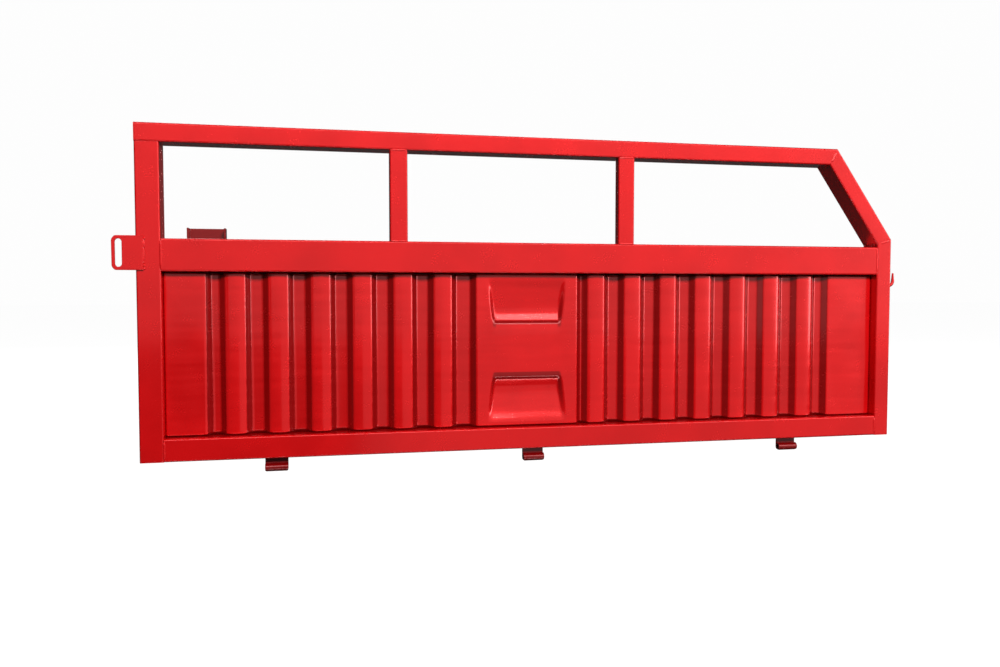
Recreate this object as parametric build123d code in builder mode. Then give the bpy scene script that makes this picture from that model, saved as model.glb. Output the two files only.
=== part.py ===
from build123d import *
from math import atan2, cos, degrees, hypot, radians, tan
import os

os.makedirs("parts", exist_ok=True)

# ---------------------------------------------------------------- sizes (mm)
# The side gate hangs on three hinge eyes under its bottom rail. X runs along
# the gate, -Y is its outer face and +Z is up. The origin is the centre of the
# middle hinge eye.

# overall
gate_length = 1800.0
gate_height = 720.0
tube_depth = 60.0

# tubes
tube_wall = 2.0
tube_corner = 4.0
left_post_width = 50.0
right_post_width = 40.0
top_rail_height = 40.0
mid_rail_height = 70.0
mid_rail_bottom = 408.0
bottom_rail_height = 50.0
cap_thickness = 2.0

# slanted end of the top rail
slant_run = 156.0
slant_end_above_mid_rail = 19.0

# window posts
window_post_width = 40.0
window_post_depth = 25.0
window_post_starts = (533.0, 1069.0)

# pressed side panel, from left to right: a flat field, ribs, a centre field, ribs, a flat field
sheet = 1.5
panel_setback = 22.0
rib_crest = 40.0
rib_valley = 23.5
rib_wall_run = 14.0
rib_depth = 16.0
flange_depth = 6.0
left_field_width = 85.0
left_rib_count = 6
left_end_valley = 14.5
centre_field_width = 241.0
centre_valley_left = 30.5
centre_valley_right = 1.0
right_rib_count = 7
right_end_valley = 18.0

# pressed pockets in the panel's centre field, shallow at one end and stepped at the other
pocket_depth = 13.0
pocket_length = 120.0
pocket_wide = 196.0
pocket_narrow = 168.0
pocket_margin = 12.0
pocket_side_slope = 45.0
pocket_corner = 14.0

# hinge eyes
hinge_starts = (257.0, 843.0, 1501.0)
hinge_width = 50.0
eye_bore_radius = 5.0
eye_plate = 4.0
eye_drop = 23.0
eye_setback = 20.0
eye_mouth = 1.0
eye_edge_round = 3.0

# hasp plate
hasp_reach = 48.0
hasp_lap = 16.0
hasp_height = 73.0
hasp_above_mid_rail_bottom = 2.0
hasp_plate_thickness = 5.0
hasp_corner = 9.0
hasp_slot_width = 14.0
hasp_slot_height = 59.0
hasp_slot_rim = 8.0

# rope hook
hook_rod = 8.0
hook_root_height = 381.0
hook_straight = 15.0
hook_bend = 12.0
hook_upright = 21.0
hook_tip_round = 3.0

# rear bracket
bracket_start = 95.0
bracket_width = 82.0
bracket_depth = 30.0
bracket_plate = 4.0
bracket_overlap = 48.0
bracket_rise = 27.0

# weld beads
bead_width = 8.0
bead_rise = 1.4
bead_leg = 4.0
bead_fullness = 0.62
bead_end_gap = 2.0
stitch_length = 22.0
hook_weld_slope = 40.0

# ------------------------------------------------- places in the model's frame
left_end = -(hinge_starts[1] + hinge_width / 2)
right_end = left_end + gate_length
foot = eye_drop
top = foot + gate_height
front = -eye_setback
back = front + tube_depth
mid_depth = (front + back) / 2

left_post_inner = left_end + left_post_width
right_post_inner = right_end - right_post_width
rail_span = right_post_inner - left_post_inner
bottom_rail_top = foot + bottom_rail_height
mid_rail_under = foot + mid_rail_bottom
mid_rail_top = mid_rail_under + mid_rail_height
top_rail_under = top - top_rail_height

slant_start = (right_end - slant_run, top)
slant_end = (right_end, mid_rail_top + slant_end_above_mid_rail)
slant_fall = slant_start[1] - slant_end[1]
slant_length = hypot(slant_run, slant_fall)
slant_angle = degrees(atan2(slant_fall, slant_run))


def tube_profile(across, deep):
    """Draw the hollow section of a tube in the current sketch."""
    RectangleRounded(across, deep, tube_corner)
    RectangleRounded(across - 2 * tube_wall, deep - 2 * tube_wall, tube_corner - tube_wall,
                     mode=Mode.SUBTRACT)


def along_x(x, y, z):
    """Plane whose normal runs along the gate, with its x axis up."""
    return Plane(origin=(x, y, z), x_dir=(0, 0, 1), z_dir=(1, 0, 0))


def facing_front(x, z, y=front):
    """Plane on the outer face, with x along the gate and y up, normal to the front."""
    return Plane(origin=(x, y, z), x_dir=(1, 0, 0), z_dir=(0, -1, 0))


def finish(builder, name):
    """Label a finished piece and write its file."""
    builder.part.label = name
    export_step(builder.part, f"parts/{name}.step")


# ------------------------------------------------------------------ the frame
# Mitre planes where the slanted post meets the top rail and the right post.
# Each passes through an outer corner and halves the angle between two tubes.
upper_mitre = Plane(origin=(slant_start[0], 0, slant_start[1]), x_dir=(0, 1, 0),
                    z_dir=Vector(1, 0, 0).rotate(Axis.Y, slant_angle / 2))
lower_mitre = Plane(origin=(slant_end[0], 0, slant_end[1]), x_dir=(0, 1, 0),
                    z_dir=Vector(1, 0, 0).rotate(Axis.Y, (slant_angle + 90) / 2))

with BuildPart() as top_rail:
    with BuildSketch(along_x(left_end + cap_thickness, mid_depth, top - top_rail_height / 2)):
        tube_profile(top_rail_height, tube_depth)
    extrude(amount=gate_length)
    split(bisect_by=upper_mitre, keep=Keep.BOTTOM)
finish(top_rail, "top_rail")

with BuildPart() as top_rail_cap:
    with BuildSketch(along_x(left_end, mid_depth, top - top_rail_height / 2)):
        RectangleRounded(top_rail_height, tube_depth, tube_corner)
    extrude(amount=cap_thickness)
finish(top_rail_cap, "top_rail_cap")

with BuildPart() as slanted_post:
    slant_plane = Plane(origin=(slant_start[0], mid_depth, slant_start[1]),
                        x_dir=Vector(0, 0, 1).rotate(Axis.Y, slant_angle),
                        z_dir=Vector(1, 0, 0).rotate(Axis.Y, slant_angle))
    with BuildSketch(slant_plane.offset(-top_rail_height)):
        with Locations((-right_post_width / 2, 0)):
            tube_profile(right_post_width, tube_depth)
    extrude(amount=slant_length + 2 * top_rail_height)
    split(bisect_by=upper_mitre, keep=Keep.TOP)
    split(bisect_by=lower_mitre, keep=Keep.BOTTOM)
    # the foot is notched to sit over the end of the mid rail
    with BuildSketch(facing_front(right_post_inner, mid_rail_top)):
        Rectangle(slant_run, mid_rail_height, align=(Align.MAX, Align.MAX))
    extrude(amount=-tube_depth, mode=Mode.SUBTRACT)
finish(slanted_post, "slanted_post")

with BuildPart() as left_post:
    with BuildSketch(Plane.XY.offset(foot + cap_thickness)):
        with Locations((left_end + left_post_width / 2, mid_depth)):
            tube_profile(left_post_width, tube_depth)
    extrude(amount=gate_height - top_rail_height - cap_thickness)
finish(left_post, "left_post")

with BuildPart() as right_post:
    with BuildSketch(Plane.XY.offset(foot + cap_thickness)):
        with Locations((right_end - right_post_width / 2, mid_depth)):
            tube_profile(right_post_width, tube_depth)
    extrude(amount=gate_height)
    split(bisect_by=lower_mitre, keep=Keep.TOP)
finish(right_post, "right_post")

foot_caps = (("left_foot_cap", left_end + left_post_width / 2, left_post_width),
             ("right_foot_cap", right_end - right_post_width / 2, right_post_width))
for name, cap_x, cap_width in foot_caps:
    with BuildPart() as foot_cap:
        with BuildSketch(Plane.XY.offset(foot)):
            with Locations((cap_x, mid_depth)):
                RectangleRounded(cap_width, tube_depth, tube_corner)
        extrude(amount=cap_thickness)
    finish(foot_cap, name)

rails = (("mid_rail", mid_rail_under, mid_rail_height),
         ("bottom_rail", foot, bottom_rail_height))
for name, rail_under, rail_height in rails:
    with BuildPart() as rail:
        with BuildSketch(along_x(left_post_inner, mid_depth, rail_under + rail_height / 2)):
            tube_profile(rail_height, tube_depth)
        extrude(amount=rail_span)
    finish(rail, name)

window_names = ("window_post_left", "window_post_right")
for name, post_start in zip(window_names, window_post_starts):
    with BuildPart() as window_post:
        with BuildSketch(Plane.XY.offset(mid_rail_top)):
            with Locations((left_end + post_start + window_post_width / 2,
                            front + window_post_depth / 2)):
                tube_profile(window_post_width, window_post_depth)
        extrude(amount=top_rail_under - mid_rail_top)
    finish(window_post, name)


# ----------------------------------------------------------- the pressed panel
crest_plane = front + panel_setback
valley_plane = crest_plane + rib_depth
flange_back = valley_plane + flange_depth
panel_height = mid_rail_under - bottom_rail_top
wall_angle = atan2(rib_depth, rib_wall_run)

rib_widths = [left_field_width]
rib_widths += [rib_crest] * left_rib_count
rib_widths += [centre_field_width]
rib_widths += [rib_crest] * right_rib_count
valley_widths = [left_end_valley]
valley_widths += [rib_valley] * (left_rib_count - 1)
valley_widths += [centre_valley_left, centre_valley_right]
valley_widths += [rib_valley] * (right_rib_count - 1)
valley_widths += [right_end_valley]


def crest_spans():
    """List the start and end of each stretch at the crest plane, from left to right."""
    spans = []
    start = left_post_inner
    for width, valley in zip(rib_widths, valley_widths):
        spans.append((start, start + width))
        start += width + valley + 2 * rib_wall_run
    spans.append((start, right_post_inner))
    return spans


def rib_outline(depth_in):
    """Corners of the closed space behind the ribbed face, moved in by depth_in."""
    spans = crest_spans()
    lean = depth_in * tan(wall_angle / 2)
    points = [(left_post_inner + depth_in, flange_back)]
    for i, (start, end) in enumerate(spans):
        start += depth_in if i == 0 else lean
        points.append((start, crest_plane + depth_in))
        if i == len(spans) - 1:
            points.append((end - depth_in, crest_plane + depth_in))
            break
        valley_start = end + rib_wall_run - lean
        valley_end = valley_start + valley_widths[i] + 2 * lean
        points.append((end - lean, crest_plane + depth_in))
        points.append((valley_start, valley_plane + depth_in))
        points.append((valley_end, valley_plane + depth_in))
    points.append((right_post_inner - depth_in, flange_back))
    return points


def pocket(grow):
    """Make the upper pocket as a solid, grown by a sheet thickness for its outer skin."""
    flush_end = mid_rail_under - pocket_margin
    step_end = flush_end - pocket_length
    middle = crest_spans()[left_rib_count + 1][0] + centre_field_width / 2
    floor_plane = Plane(origin=(middle, crest_plane + grow, flush_end), x_dir=(1, 0, 0),
                        z_dir=(0, pocket_length - pocket_depth, pocket_depth))
    with BuildPart() as shape:
        with BuildSketch(facing_front(middle, step_end, crest_plane)) as outline:
            with BuildLine():
                Polyline((-pocket_narrow / 2, 0), (pocket_narrow / 2, 0),
                         (pocket_wide / 2, pocket_length), (-pocket_wide / 2, pocket_length),
                         close=True)
            make_face()
            fillet(outline.vertices(), radius=pocket_corner)
            if grow:
                offset(amount=grow)
        extrude(amount=-(pocket_depth + grow), taper=pocket_side_slope)
        split(bisect_by=floor_plane, keep=Keep.BOTTOM)
    return shape.part


with BuildPart() as side_panel:
    with BuildSketch(Plane.XY.offset(bottom_rail_top)) as face_outline:
        with BuildLine():
            Polyline(*rib_outline(0), close=True)
        make_face()
    extrude(amount=panel_height)
    with BuildSketch(Plane.XY.offset(bottom_rail_top + sheet)):
        with BuildLine():
            Polyline(*rib_outline(sheet), close=True)
        make_face()
    extrude(amount=panel_height - 2 * sheet, mode=Mode.SUBTRACT)
    upper_skin = pocket(sheet)
    upper_hollow = pocket(0)
    panel_middle = Plane.XY.offset(bottom_rail_top + panel_height / 2)
    add(upper_skin)
    add(mirror(upper_skin, about=panel_middle, mode=Mode.PRIVATE))
    add(upper_hollow, mode=Mode.SUBTRACT)
    add(mirror(upper_hollow, about=panel_middle, mode=Mode.PRIVATE), mode=Mode.SUBTRACT)
finish(side_panel, "side_panel")

# ------------------------------------------------------------ the hinge eyes
# Each is a strap that drops from the bottom rail and is rolled forwards into an eye.
eye_outer_radius = eye_bore_radius + eye_plate
hinge_names = ("hinge_eye_left", "hinge_eye_middle", "hinge_eye_right")
for name, hinge_start in zip(hinge_names, hinge_starts):
    with BuildPart() as hinge_eye:
        with BuildSketch(Plane(origin=(left_end + hinge_start, 0, 0), x_dir=(0, 1, 0),
                               z_dir=(1, 0, 0))):
            Circle(eye_outer_radius)
            with Locations((eye_bore_radius, 0)):
                Rectangle(eye_plate, foot, align=(Align.MIN, Align.MIN))
            Circle(eye_bore_radius, mode=Mode.SUBTRACT)
            with Locations((eye_bore_radius, 0)):
                Rectangle(eye_mouth, eye_outer_radius, align=(Align.MAX, Align.MIN),
                          mode=Mode.SUBTRACT)
        extrude(amount=hinge_width)
        with BuildSketch(facing_front(left_end + hinge_start, -eye_outer_radius,
                                      -eye_outer_radius)) as eye_face:
            Rectangle(hinge_width, foot + eye_outer_radius, align=(Align.MIN, Align.MIN))
            fillet(eye_face.vertices().group_by(Axis.Z)[0], radius=eye_edge_round)
        extrude(amount=-2 * eye_outer_radius, mode=Mode.INTERSECT)
    finish(hinge_eye, name)

# ------------------------------------------------------------- the hasp plate
with BuildPart() as hasp_plate:
    hasp_left = left_end - hasp_reach
    hasp_centre_height = mid_rail_under + hasp_above_mid_rail_bottom + hasp_height / 2
    with BuildSketch(facing_front(hasp_left, hasp_centre_height)) as hasp_outline:
        Rectangle(hasp_reach + hasp_lap, hasp_height, align=(Align.MIN, Align.CENTER))
        fillet(hasp_outline.vertices().group_by(Axis.X)[0], radius=hasp_corner)
        with Locations((hasp_slot_rim + hasp_slot_width / 2, 0)):
            SlotOverall(hasp_slot_height, hasp_slot_width, rotation=90, mode=Mode.SUBTRACT)
    extrude(amount=hasp_plate_thickness)
finish(hasp_plate, "hasp_plate")

# -------------------------------------------------------------- the rope hook
hook_root = (right_end, foot + hook_root_height)
hook_root_plane = Plane(origin=(hook_root[0], mid_depth, hook_root[1]), x_dir=(0, 1, 0),
                        z_dir=(1, 0, 0))
with BuildPart() as rope_hook:
    with BuildLine(Plane.XZ.offset(-mid_depth)) as hook_path:
        shank = Line(hook_root, (hook_root[0] + hook_straight, hook_root[1]))
        bend_end = (hook_root[0] + hook_straight + hook_bend, hook_root[1] + hook_bend)
        RadiusArc(shank @ 1, bend_end, -hook_bend)
        Line(bend_end, (bend_end[0], bend_end[1] + hook_upright))
    with BuildSketch(hook_root_plane):
        Circle(hook_rod / 2)
    sweep(path=hook_path.wires()[0])
    fillet(rope_hook.faces().sort_by(Axis.Z)[-1].edges(), radius=hook_tip_round)
finish(rope_hook, "rope_hook")

# ----------------------------------------------------------- the rear bracket
bracket_foot = mid_rail_top - bracket_overlap
with BuildPart() as rear_bracket:
    with BuildSketch(Plane.XY.offset(bracket_foot)):
        with Locations((left_end + bracket_start, back)):
            Rectangle(bracket_width, bracket_depth, align=(Align.MIN, Align.MIN))
        with Locations((left_end + bracket_start + bracket_plate, back)):
            Rectangle(bracket_width - 2 * bracket_plate, bracket_depth - bracket_plate,
                      align=(Align.MIN, Align.MIN), mode=Mode.SUBTRACT)
    extrude(amount=bracket_overlap + bracket_rise)
finish(rear_bracket, "rear_bracket")


# ------------------------------------------------------------- the weld beads
def bead(middle, along, outward, length):
    """Lay a low rounded bead over a flush seam, centred on middle, in the current part."""
    plane = Plane(origin=middle, x_dir=Vector(*outward).cross(Vector(*along)), z_dir=along)
    with BuildSketch(plane) as section:
        with BuildLine():
            Line((-bead_width / 2, 0), (bead_width / 2, 0))
            ThreePointArc((bead_width / 2, 0), (0, bead_rise), (-bead_width / 2, 0))
        make_face()
    extrude(section.sketch, amount=length / 2, both=True)


def corner_bead(middle, first_leg, second_leg, length):
    """Lay a bead along an inside corner, centred on middle, in the current part."""
    plane = Plane(origin=middle, x_dir=first_leg,
                  z_dir=Vector(*first_leg).cross(Vector(*second_leg)))
    crown = bead_leg * bead_fullness
    with BuildSketch(plane) as section:
        with BuildLine():
            Line((0, 0), (bead_leg, 0))
            ThreePointArc((bead_leg, 0), (crown, crown), (0, bead_leg))
            Line((0, bead_leg), (0, 0))
        make_face()
    extrude(section.sketch, amount=length / 2, both=True)


ahead = (0, -1, 0)
behind = (0, 1, 0)
leftward = (-1, 0, 0)
rightward = (1, 0, 0)
upward = (0, 0, 1)
downward = (0, 0, -1)
seam_margin = tube_corner + bead_end_gap
faces = ((front, ahead), (back, behind))

post_seams = (("left_post_welds", left_post_inner), ("right_post_welds", right_post_inner))
for name, seam_x in post_seams:
    with BuildPart() as post_welds:
        for _, rail_under, rail_height in rails:
            for face_y, outward in faces:
                bead((seam_x, face_y, rail_under + rail_height / 2), upward, outward,
                     rail_height - 2 * seam_margin)
    finish(post_welds, name)

with BuildPart() as window_post_welds:
    bead_length = window_post_width - 2 * seam_margin
    seams = ((mid_rail_top, upward), (top_rail_under, downward))
    for post_start in window_post_starts:
        post_middle = left_end + post_start + window_post_width / 2
        for seam_z, away in seams:
            bead((post_middle, front, seam_z), rightward, ahead, bead_length)
            corner_bead((post_middle, front + window_post_depth, seam_z), behind, away,
                        bead_length)
finish(window_post_welds, "window_post_welds")

with BuildPart() as mitre_welds:
    mitres = ((slant_start, upper_mitre, slant_angle),
              (slant_end, lower_mitre, 90 - slant_angle))
    for corner, mitre, turn in mitres:
        seam_length = right_post_width / cos(radians(turn / 2))
        inward = mitre.x_dir.cross(mitre.z_dir)
        seam_middle = Vector(corner[0], 0, corner[1]) + inward * seam_length / 2
        for face_y, outward in faces:
            bead((seam_middle.X, face_y, seam_middle.Z), tuple(inward), outward,
                 seam_length - 3 * seam_margin)
finish(mitre_welds, "mitre_welds")

with BuildPart() as hasp_welds:
    corner_bead((left_end + hasp_lap, front, hasp_centre_height), rightward, ahead,
                hasp_height - 2 * hasp_corner)
finish(hasp_welds, "hasp_welds")

with BuildPart() as hinge_welds:
    for hinge_start in hinge_starts:
        strap_middle = left_end + hinge_start + hinge_width / 2
        bead_length = hinge_width - 2 * eye_edge_round
        corner_bead((strap_middle, eye_bore_radius, foot), ahead, downward, bead_length)
        corner_bead((strap_middle, eye_outer_radius, foot), behind, downward, bead_length)
finish(hinge_welds, "hinge_welds")

with BuildPart() as panel_stitch_welds:
    for start, end in crest_spans()[::2]:
        stitch_middle = (start + end) / 2
        corner_bead((stitch_middle, flange_back, bottom_rail_top), behind, upward,
                    stitch_length)
        corner_bead((stitch_middle, flange_back, mid_rail_under), behind, downward,
                    stitch_length)
finish(panel_stitch_welds, "panel_stitch_welds")

with BuildPart() as bracket_welds:
    bead_length = bracket_overlap - seam_margin
    bead_middle = bracket_foot + bead_length / 2
    bracket_left = left_end + bracket_start
    corner_bead((bracket_left, back, bead_middle), leftward, behind, bead_length)
    corner_bead((bracket_left + bracket_width, back, bead_middle), rightward, behind,
                bead_length)
finish(bracket_welds, "bracket_welds")

with BuildPart() as hook_weld:
    with BuildSketch(hook_root_plane):
        Circle(hook_rod / 2 + bead_leg)
    extrude(amount=bead_leg, taper=hook_weld_slope)
    with BuildSketch(hook_root_plane):
        Circle(hook_rod / 2)
    extrude(amount=bead_leg, mode=Mode.SUBTRACT)
finish(hook_weld, "hook_weld")
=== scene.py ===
import random
from math import atan2, cos, pi, radians, sin

import bmesh
import bpy
from bpy.props import FloatProperty, FloatVectorProperty, IntProperty, PointerProperty
from mathutils import Matrix, Vector


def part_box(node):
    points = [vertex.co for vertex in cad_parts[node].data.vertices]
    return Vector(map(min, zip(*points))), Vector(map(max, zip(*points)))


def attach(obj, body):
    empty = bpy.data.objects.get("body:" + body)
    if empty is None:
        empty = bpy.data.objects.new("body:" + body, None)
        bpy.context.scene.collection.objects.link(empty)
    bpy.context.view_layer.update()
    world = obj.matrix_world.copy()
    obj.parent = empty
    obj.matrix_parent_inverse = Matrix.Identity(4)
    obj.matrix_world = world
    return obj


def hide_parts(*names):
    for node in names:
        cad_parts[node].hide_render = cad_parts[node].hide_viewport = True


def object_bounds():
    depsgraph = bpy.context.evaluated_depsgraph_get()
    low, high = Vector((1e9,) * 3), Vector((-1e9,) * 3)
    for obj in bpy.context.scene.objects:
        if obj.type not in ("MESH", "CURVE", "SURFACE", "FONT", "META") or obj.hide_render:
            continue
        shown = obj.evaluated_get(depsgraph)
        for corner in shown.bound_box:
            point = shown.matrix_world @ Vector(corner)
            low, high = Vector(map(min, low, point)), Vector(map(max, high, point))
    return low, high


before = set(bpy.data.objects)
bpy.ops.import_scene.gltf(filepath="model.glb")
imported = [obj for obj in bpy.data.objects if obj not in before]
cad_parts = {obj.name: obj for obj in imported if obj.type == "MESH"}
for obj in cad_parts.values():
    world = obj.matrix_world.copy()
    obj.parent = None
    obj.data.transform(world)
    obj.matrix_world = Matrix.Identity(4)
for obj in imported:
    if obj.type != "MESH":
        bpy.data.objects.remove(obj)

bl_info = {
    "name": "Trailer Side Gate",
    "version": (1, 0, 0),
    "blender": (4, 5, 0),
    "location": "View3D > Sidebar > Side Gate",
    "description": "Builds a painted trailer side gate of tube, pressed sheet and small fittings",
    "category": "Object",
}

CAD_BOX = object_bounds()
AHEAD = Vector((0, -1, 0))
BEHIND = Vector((0, 1, 0))
LEFTWARD = Vector((-1, 0, 0))
RIGHTWARD = Vector((1, 0, 0))
UPWARD = Vector((0, 0, 1))
DOWNWARD = Vector((0, 0, -1))
# How near two places, or two directions, are before they count as the same.
SAME_PLACE = 1e-5
PARALLEL = 1e-4
# The sharpest edge that is shaded smooth, and the pull of flat faces on their borders' shading.
SMOOTH_ANGLE = radians(40)
FLAT_FACE_WEIGHT = 80
# How squarely a tube's end face looks along it, and the least turn in radians of the sharp edges
# of a rolled strap and of a flat plate.
END_FACE = 0.35
ROLLED_EDGE = 0.8
SQUARE_EDGE = 1.2
HINGE_EYES = ("hinge_eye_left", "hinge_eye_middle", "hinge_eye_right")
WINDOW_POSTS = ("window_post_left", "window_post_right")


# ---------------------------------------------------------------- settings
class GATE_PG_paint(bpy.types.PropertyGroup):
    """The red gloss paint that covers the whole gate."""

    red: FloatVectorProperty(
        name="Red", description="Main colour of the paint", subtype="COLOR",
        default=(0.64, 0.0030, 0.0042), min=0, max=1)
    deep_red: FloatVectorProperty(
        name="Deep red", description="Colour where the paint lies a little thicker",
        subtype="COLOR", default=(0.56, 0.0020, 0.0030), min=0, max=1)
    lustre: FloatProperty(
        name="Lustre", description="Share of red light that the pigment throws back like metal",
        default=0.5, min=0, max=1)
    roughness: FloatProperty(
        name="Roughness", description="Roughness of the cleanest paint", default=0.20,
        min=0, max=1)
    dullness: FloatProperty(
        name="Dullness", description="Roughness added where the paint is least even",
        default=0.12, min=0, max=1)
    gloss: FloatProperty(
        name="Gloss", description="Strength of the clear gloss on top", default=0.9,
        min=0, max=1)
    coat_blur: FloatProperty(
        name="Gloss blur", description="Roughness of the clear gloss on top", default=0.11,
        min=0, max=1)
    # Painted shade: darkens the colour on the ribs' steep sides and the pockets' steep walls.
    painted_recess_shade: FloatProperty(
        name="Recess", description="How much darker the paint gathers on the ribs' steep sides",
        default=0.52, min=0, max=1)
    # Painted shade: darkens the colour where the sheet's lips turn back along the rails.
    seam: FloatProperty(
        name="Seam", description="How much darker the paint is in the seams along the rails",
        default=0.85, min=0, max=1)
    # Painted shade: the hinge eyes and the bracket get a darker copy of the red.
    painted_shade: FloatProperty(
        name="Shade", description="How much darker the hinge eyes and the bracket are",
        default=0.68, min=0, max=1)
    peel: FloatProperty(
        name="Orange peel", description="Height of the fine dimples in the paint",
        default=0.000005, min=0, max=0.001, precision=6, unit="LENGTH")
    ripple: FloatProperty(
        name="Ripple", description="Height of the level ripples in the thin sheet",
        default=0.0013, min=0, max=0.01, precision=5, unit="LENGTH")
    sag: FloatProperty(
        name="Waviness", description="Height of the long waves under the paint",
        default=0.00035, min=0, max=0.01, precision=5, unit="LENGTH")


class GATE_PG_tubes(bpy.types.PropertyGroup):
    """Rounding of the frame's tubes."""

    corner: FloatProperty(
        name="Corner radius", description="Outside radius of a tube's long edges",
        default=0.004, min=0.0005, max=0.02, unit="LENGTH")
    corner_steps: IntProperty(
        name="Corner steps", description="Flat strips in each rounded edge", default=6,
        min=2, max=16)
    end_round: FloatProperty(
        name="End rounding", description="Rounding of a cut or welded end", default=0.0008,
        min=0, max=0.005, precision=4, unit="LENGTH")


class GATE_PG_sheet(bpy.types.PropertyGroup):
    """The pressed sheet between the rails."""

    thickness: FloatProperty(
        name="Thickness", description="Thickness of the sheet", default=0.0015,
        min=0.0005, max=0.005, precision=4, unit="LENGTH")
    fold: FloatProperty(
        name="Fold", description="Flat taken off each side of a rib's fold", default=0.0034,
        min=0.0005, max=0.006, precision=4, unit="LENGTH")
    fold_steps: IntProperty(
        name="Fold steps", description="Strips in each rounded fold", default=4, min=2, max=10)
    crown: FloatProperty(
        name="Rib crown", description="How far the middle of a rib's crest stands out",
        default=0.0027, min=0, max=0.003, precision=4, unit="LENGTH")
    flat_inset: FloatProperty(
        name="Flat inset", description="How far the flat fields lie behind the ribs' crests",
        default=0.0014, min=0, max=0.003, precision=4, unit="LENGTH")
    lip: FloatProperty(
        name="Lip radius", description="Radius where the sheet's edges turn backwards",
        default=0.0055, min=0.002, max=0.0058, precision=4, unit="LENGTH")
    lip_wave: FloatProperty(
        name="Lip wave", description="How much higher the lip is drawn in at the valleys",
        default=0.0048, min=0, max=0.01, precision=4, unit="LENGTH")
    row: FloatProperty(
        name="Row height", description="Height of the plain rows in the sheet's mesh",
        default=0.0084, min=0.004, max=0.05, precision=4, unit="LENGTH")
    buckle: FloatProperty(
        name="Buckle", description="Depth of the soft hollows in the flat fields",
        default=0.0009, min=0, max=0.004, precision=4, unit="LENGTH")


class GATE_PG_pockets(bpy.types.PropertyGroup):
    """The two pressed pockets in the middle of the sheet."""

    depth: FloatProperty(
        name="Depth", description="Depth of a pocket at its step", default=0.012,
        min=0.002, max=0.02, unit="LENGTH")
    margin: FloatProperty(
        name="Margin", description="Sheet between a pocket's shallow end and the rail",
        default=0.012, min=0.005, max=0.05, unit="LENGTH")
    length: FloatProperty(
        name="Length", description="Length of a pocket from its shallow end to its step",
        default=0.120, min=0.05, max=0.16, unit="LENGTH")
    wide: FloatProperty(
        name="Wide end", description="Width at the shallow end", default=0.196,
        min=0.05, max=0.23, unit="LENGTH")
    narrow: FloatProperty(
        name="Narrow end", description="Width at the step", default=0.168,
        min=0.05, max=0.23, unit="LENGTH")
    step_run: FloatProperty(
        name="Step run", description="Height over which the step falls and eases out",
        default=0.048, min=0.005, max=0.08, unit="LENGTH")
    side_run: FloatProperty(
        name="Side run", description="Width over which a side falls at the deep end",
        default=0.014, min=0.003, max=0.05, unit="LENGTH")
    shallow: FloatProperty(
        name="Shallow end", description="Share of the depth that the shallow end has already",
        default=0.12, min=0, max=1)
    shallow_run: FloatProperty(
        name="Shallow run", description="Height over which the shallow end falls",
        default=0.016, min=0.003, max=0.05, unit="LENGTH")


class GATE_PG_fittings(bpy.types.PropertyGroup):
    """Hinge eyes, hasp plate, rope hook and rear bracket."""

    edge: FloatProperty(
        name="Edge rounding", description="Rounding of plate edges under the paint",
        default=0.0009, min=0.0002, max=0.002, precision=4, unit="LENGTH")
    strap: FloatProperty(
        name="Strap", description="Thickness of the rolled hinge strap", default=0.004,
        min=0.002, max=0.008, unit="LENGTH")
    eye_steps: IntProperty(
        name="Eye steps", description="Strips round a rolled eye", default=30, min=12, max=64)
    eye_corner: FloatProperty(
        name="Eye corner", description="Radius of a hinge eye's two lowest corners",
        default=0.0042, min=0.001, max=0.008, precision=4, unit="LENGTH")
    hasp_corner: FloatProperty(
        name="Hasp corner", description="Radius of the hasp plate's outer corners",
        default=0.011, min=0.003, max=0.02, unit="LENGTH")
    hasp_bow: FloatProperty(
        name="Hasp bow", description="How far the hasp's outer edge swells between its corners",
        default=0.003, min=0, max=0.006, precision=4, unit="LENGTH")
    slot_width: FloatProperty(
        name="Slot width", description="Width of the slot in the hasp plate", default=0.014,
        min=0.005, max=0.03, unit="LENGTH")
    slot_height: FloatProperty(
        name="Slot height", description="Height of the slot in the hasp plate", default=0.059,
        min=0.02, max=0.065, unit="LENGTH")
    slot_rim: FloatProperty(
        name="Slot rim", description="Plate left outside the slot", default=0.008,
        min=0.003, max=0.02, unit="LENGTH")
    hook_rod: FloatProperty(
        name="Hook rod", description="Thickness of the hook's rod at its root", default=0.008,
        min=0.004, max=0.012, unit="LENGTH")
    hook_tip: FloatProperty(
        name="Hook tip", description="Thickness of the rod at its drawn-out tip",
        default=0.0042, min=0.001, max=0.012, precision=4, unit="LENGTH")
    bracket_plate: FloatProperty(
        name="Bracket plate", description="Thickness of the rear bracket's plate",
        default=0.004, min=0.002, max=0.008, unit="LENGTH")


class GATE_PG_welds(bpy.types.PropertyGroup):
    """The weld beads under the paint."""

    rise: FloatProperty(
        name="Bead rise", description="How far a bead stands over a flush seam",
        default=0.0014, min=0.0005, max=0.0014, precision=4, unit="LENGTH")
    width: FloatProperty(
        name="Bead width", description="Width of a bead over a flush seam", default=0.0056,
        min=0.002, max=0.012, precision=4, unit="LENGTH")
    ripple: FloatProperty(
        name="Ripple pitch", description="Distance from one ripple to the next",
        default=0.0026, min=0.001, max=0.006, precision=4, unit="LENGTH")
    sides: IntProperty(
        name="Bead sides", description="Strips round a bead", default=10, min=6, max=24)


class GATE_PG_stage(bpy.types.PropertyGroup):
    """Floor, lights and camera."""

    lens: FloatProperty(
        name="Lens", description="Focal length of the camera in millimetres", default=31.1,
        min=10, max=200)
    floor_pale: FloatProperty(
        name="Floor paleness", description="How pale the floor is", default=0.10, min=0, max=1)
    front_light: FloatProperty(
        name="Front light", description="Brightness of the light wall and the key light",
        default=1.0, min=0, max=20)
    key_light: FloatProperty(
        name="Key light", description="Brightness of the key light", default=140.0, min=0,
        max=200)
    wall_distance: FloatProperty(
        name="Light wall", description="Place of the wall of soft panels in front of the gate",
        default=-4.4, min=-10, max=-2, unit="LENGTH")


def settings(name):
    """Settings group of that name in the current scene."""
    return getattr(bpy.context.scene, "gate_" + name)


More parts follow.
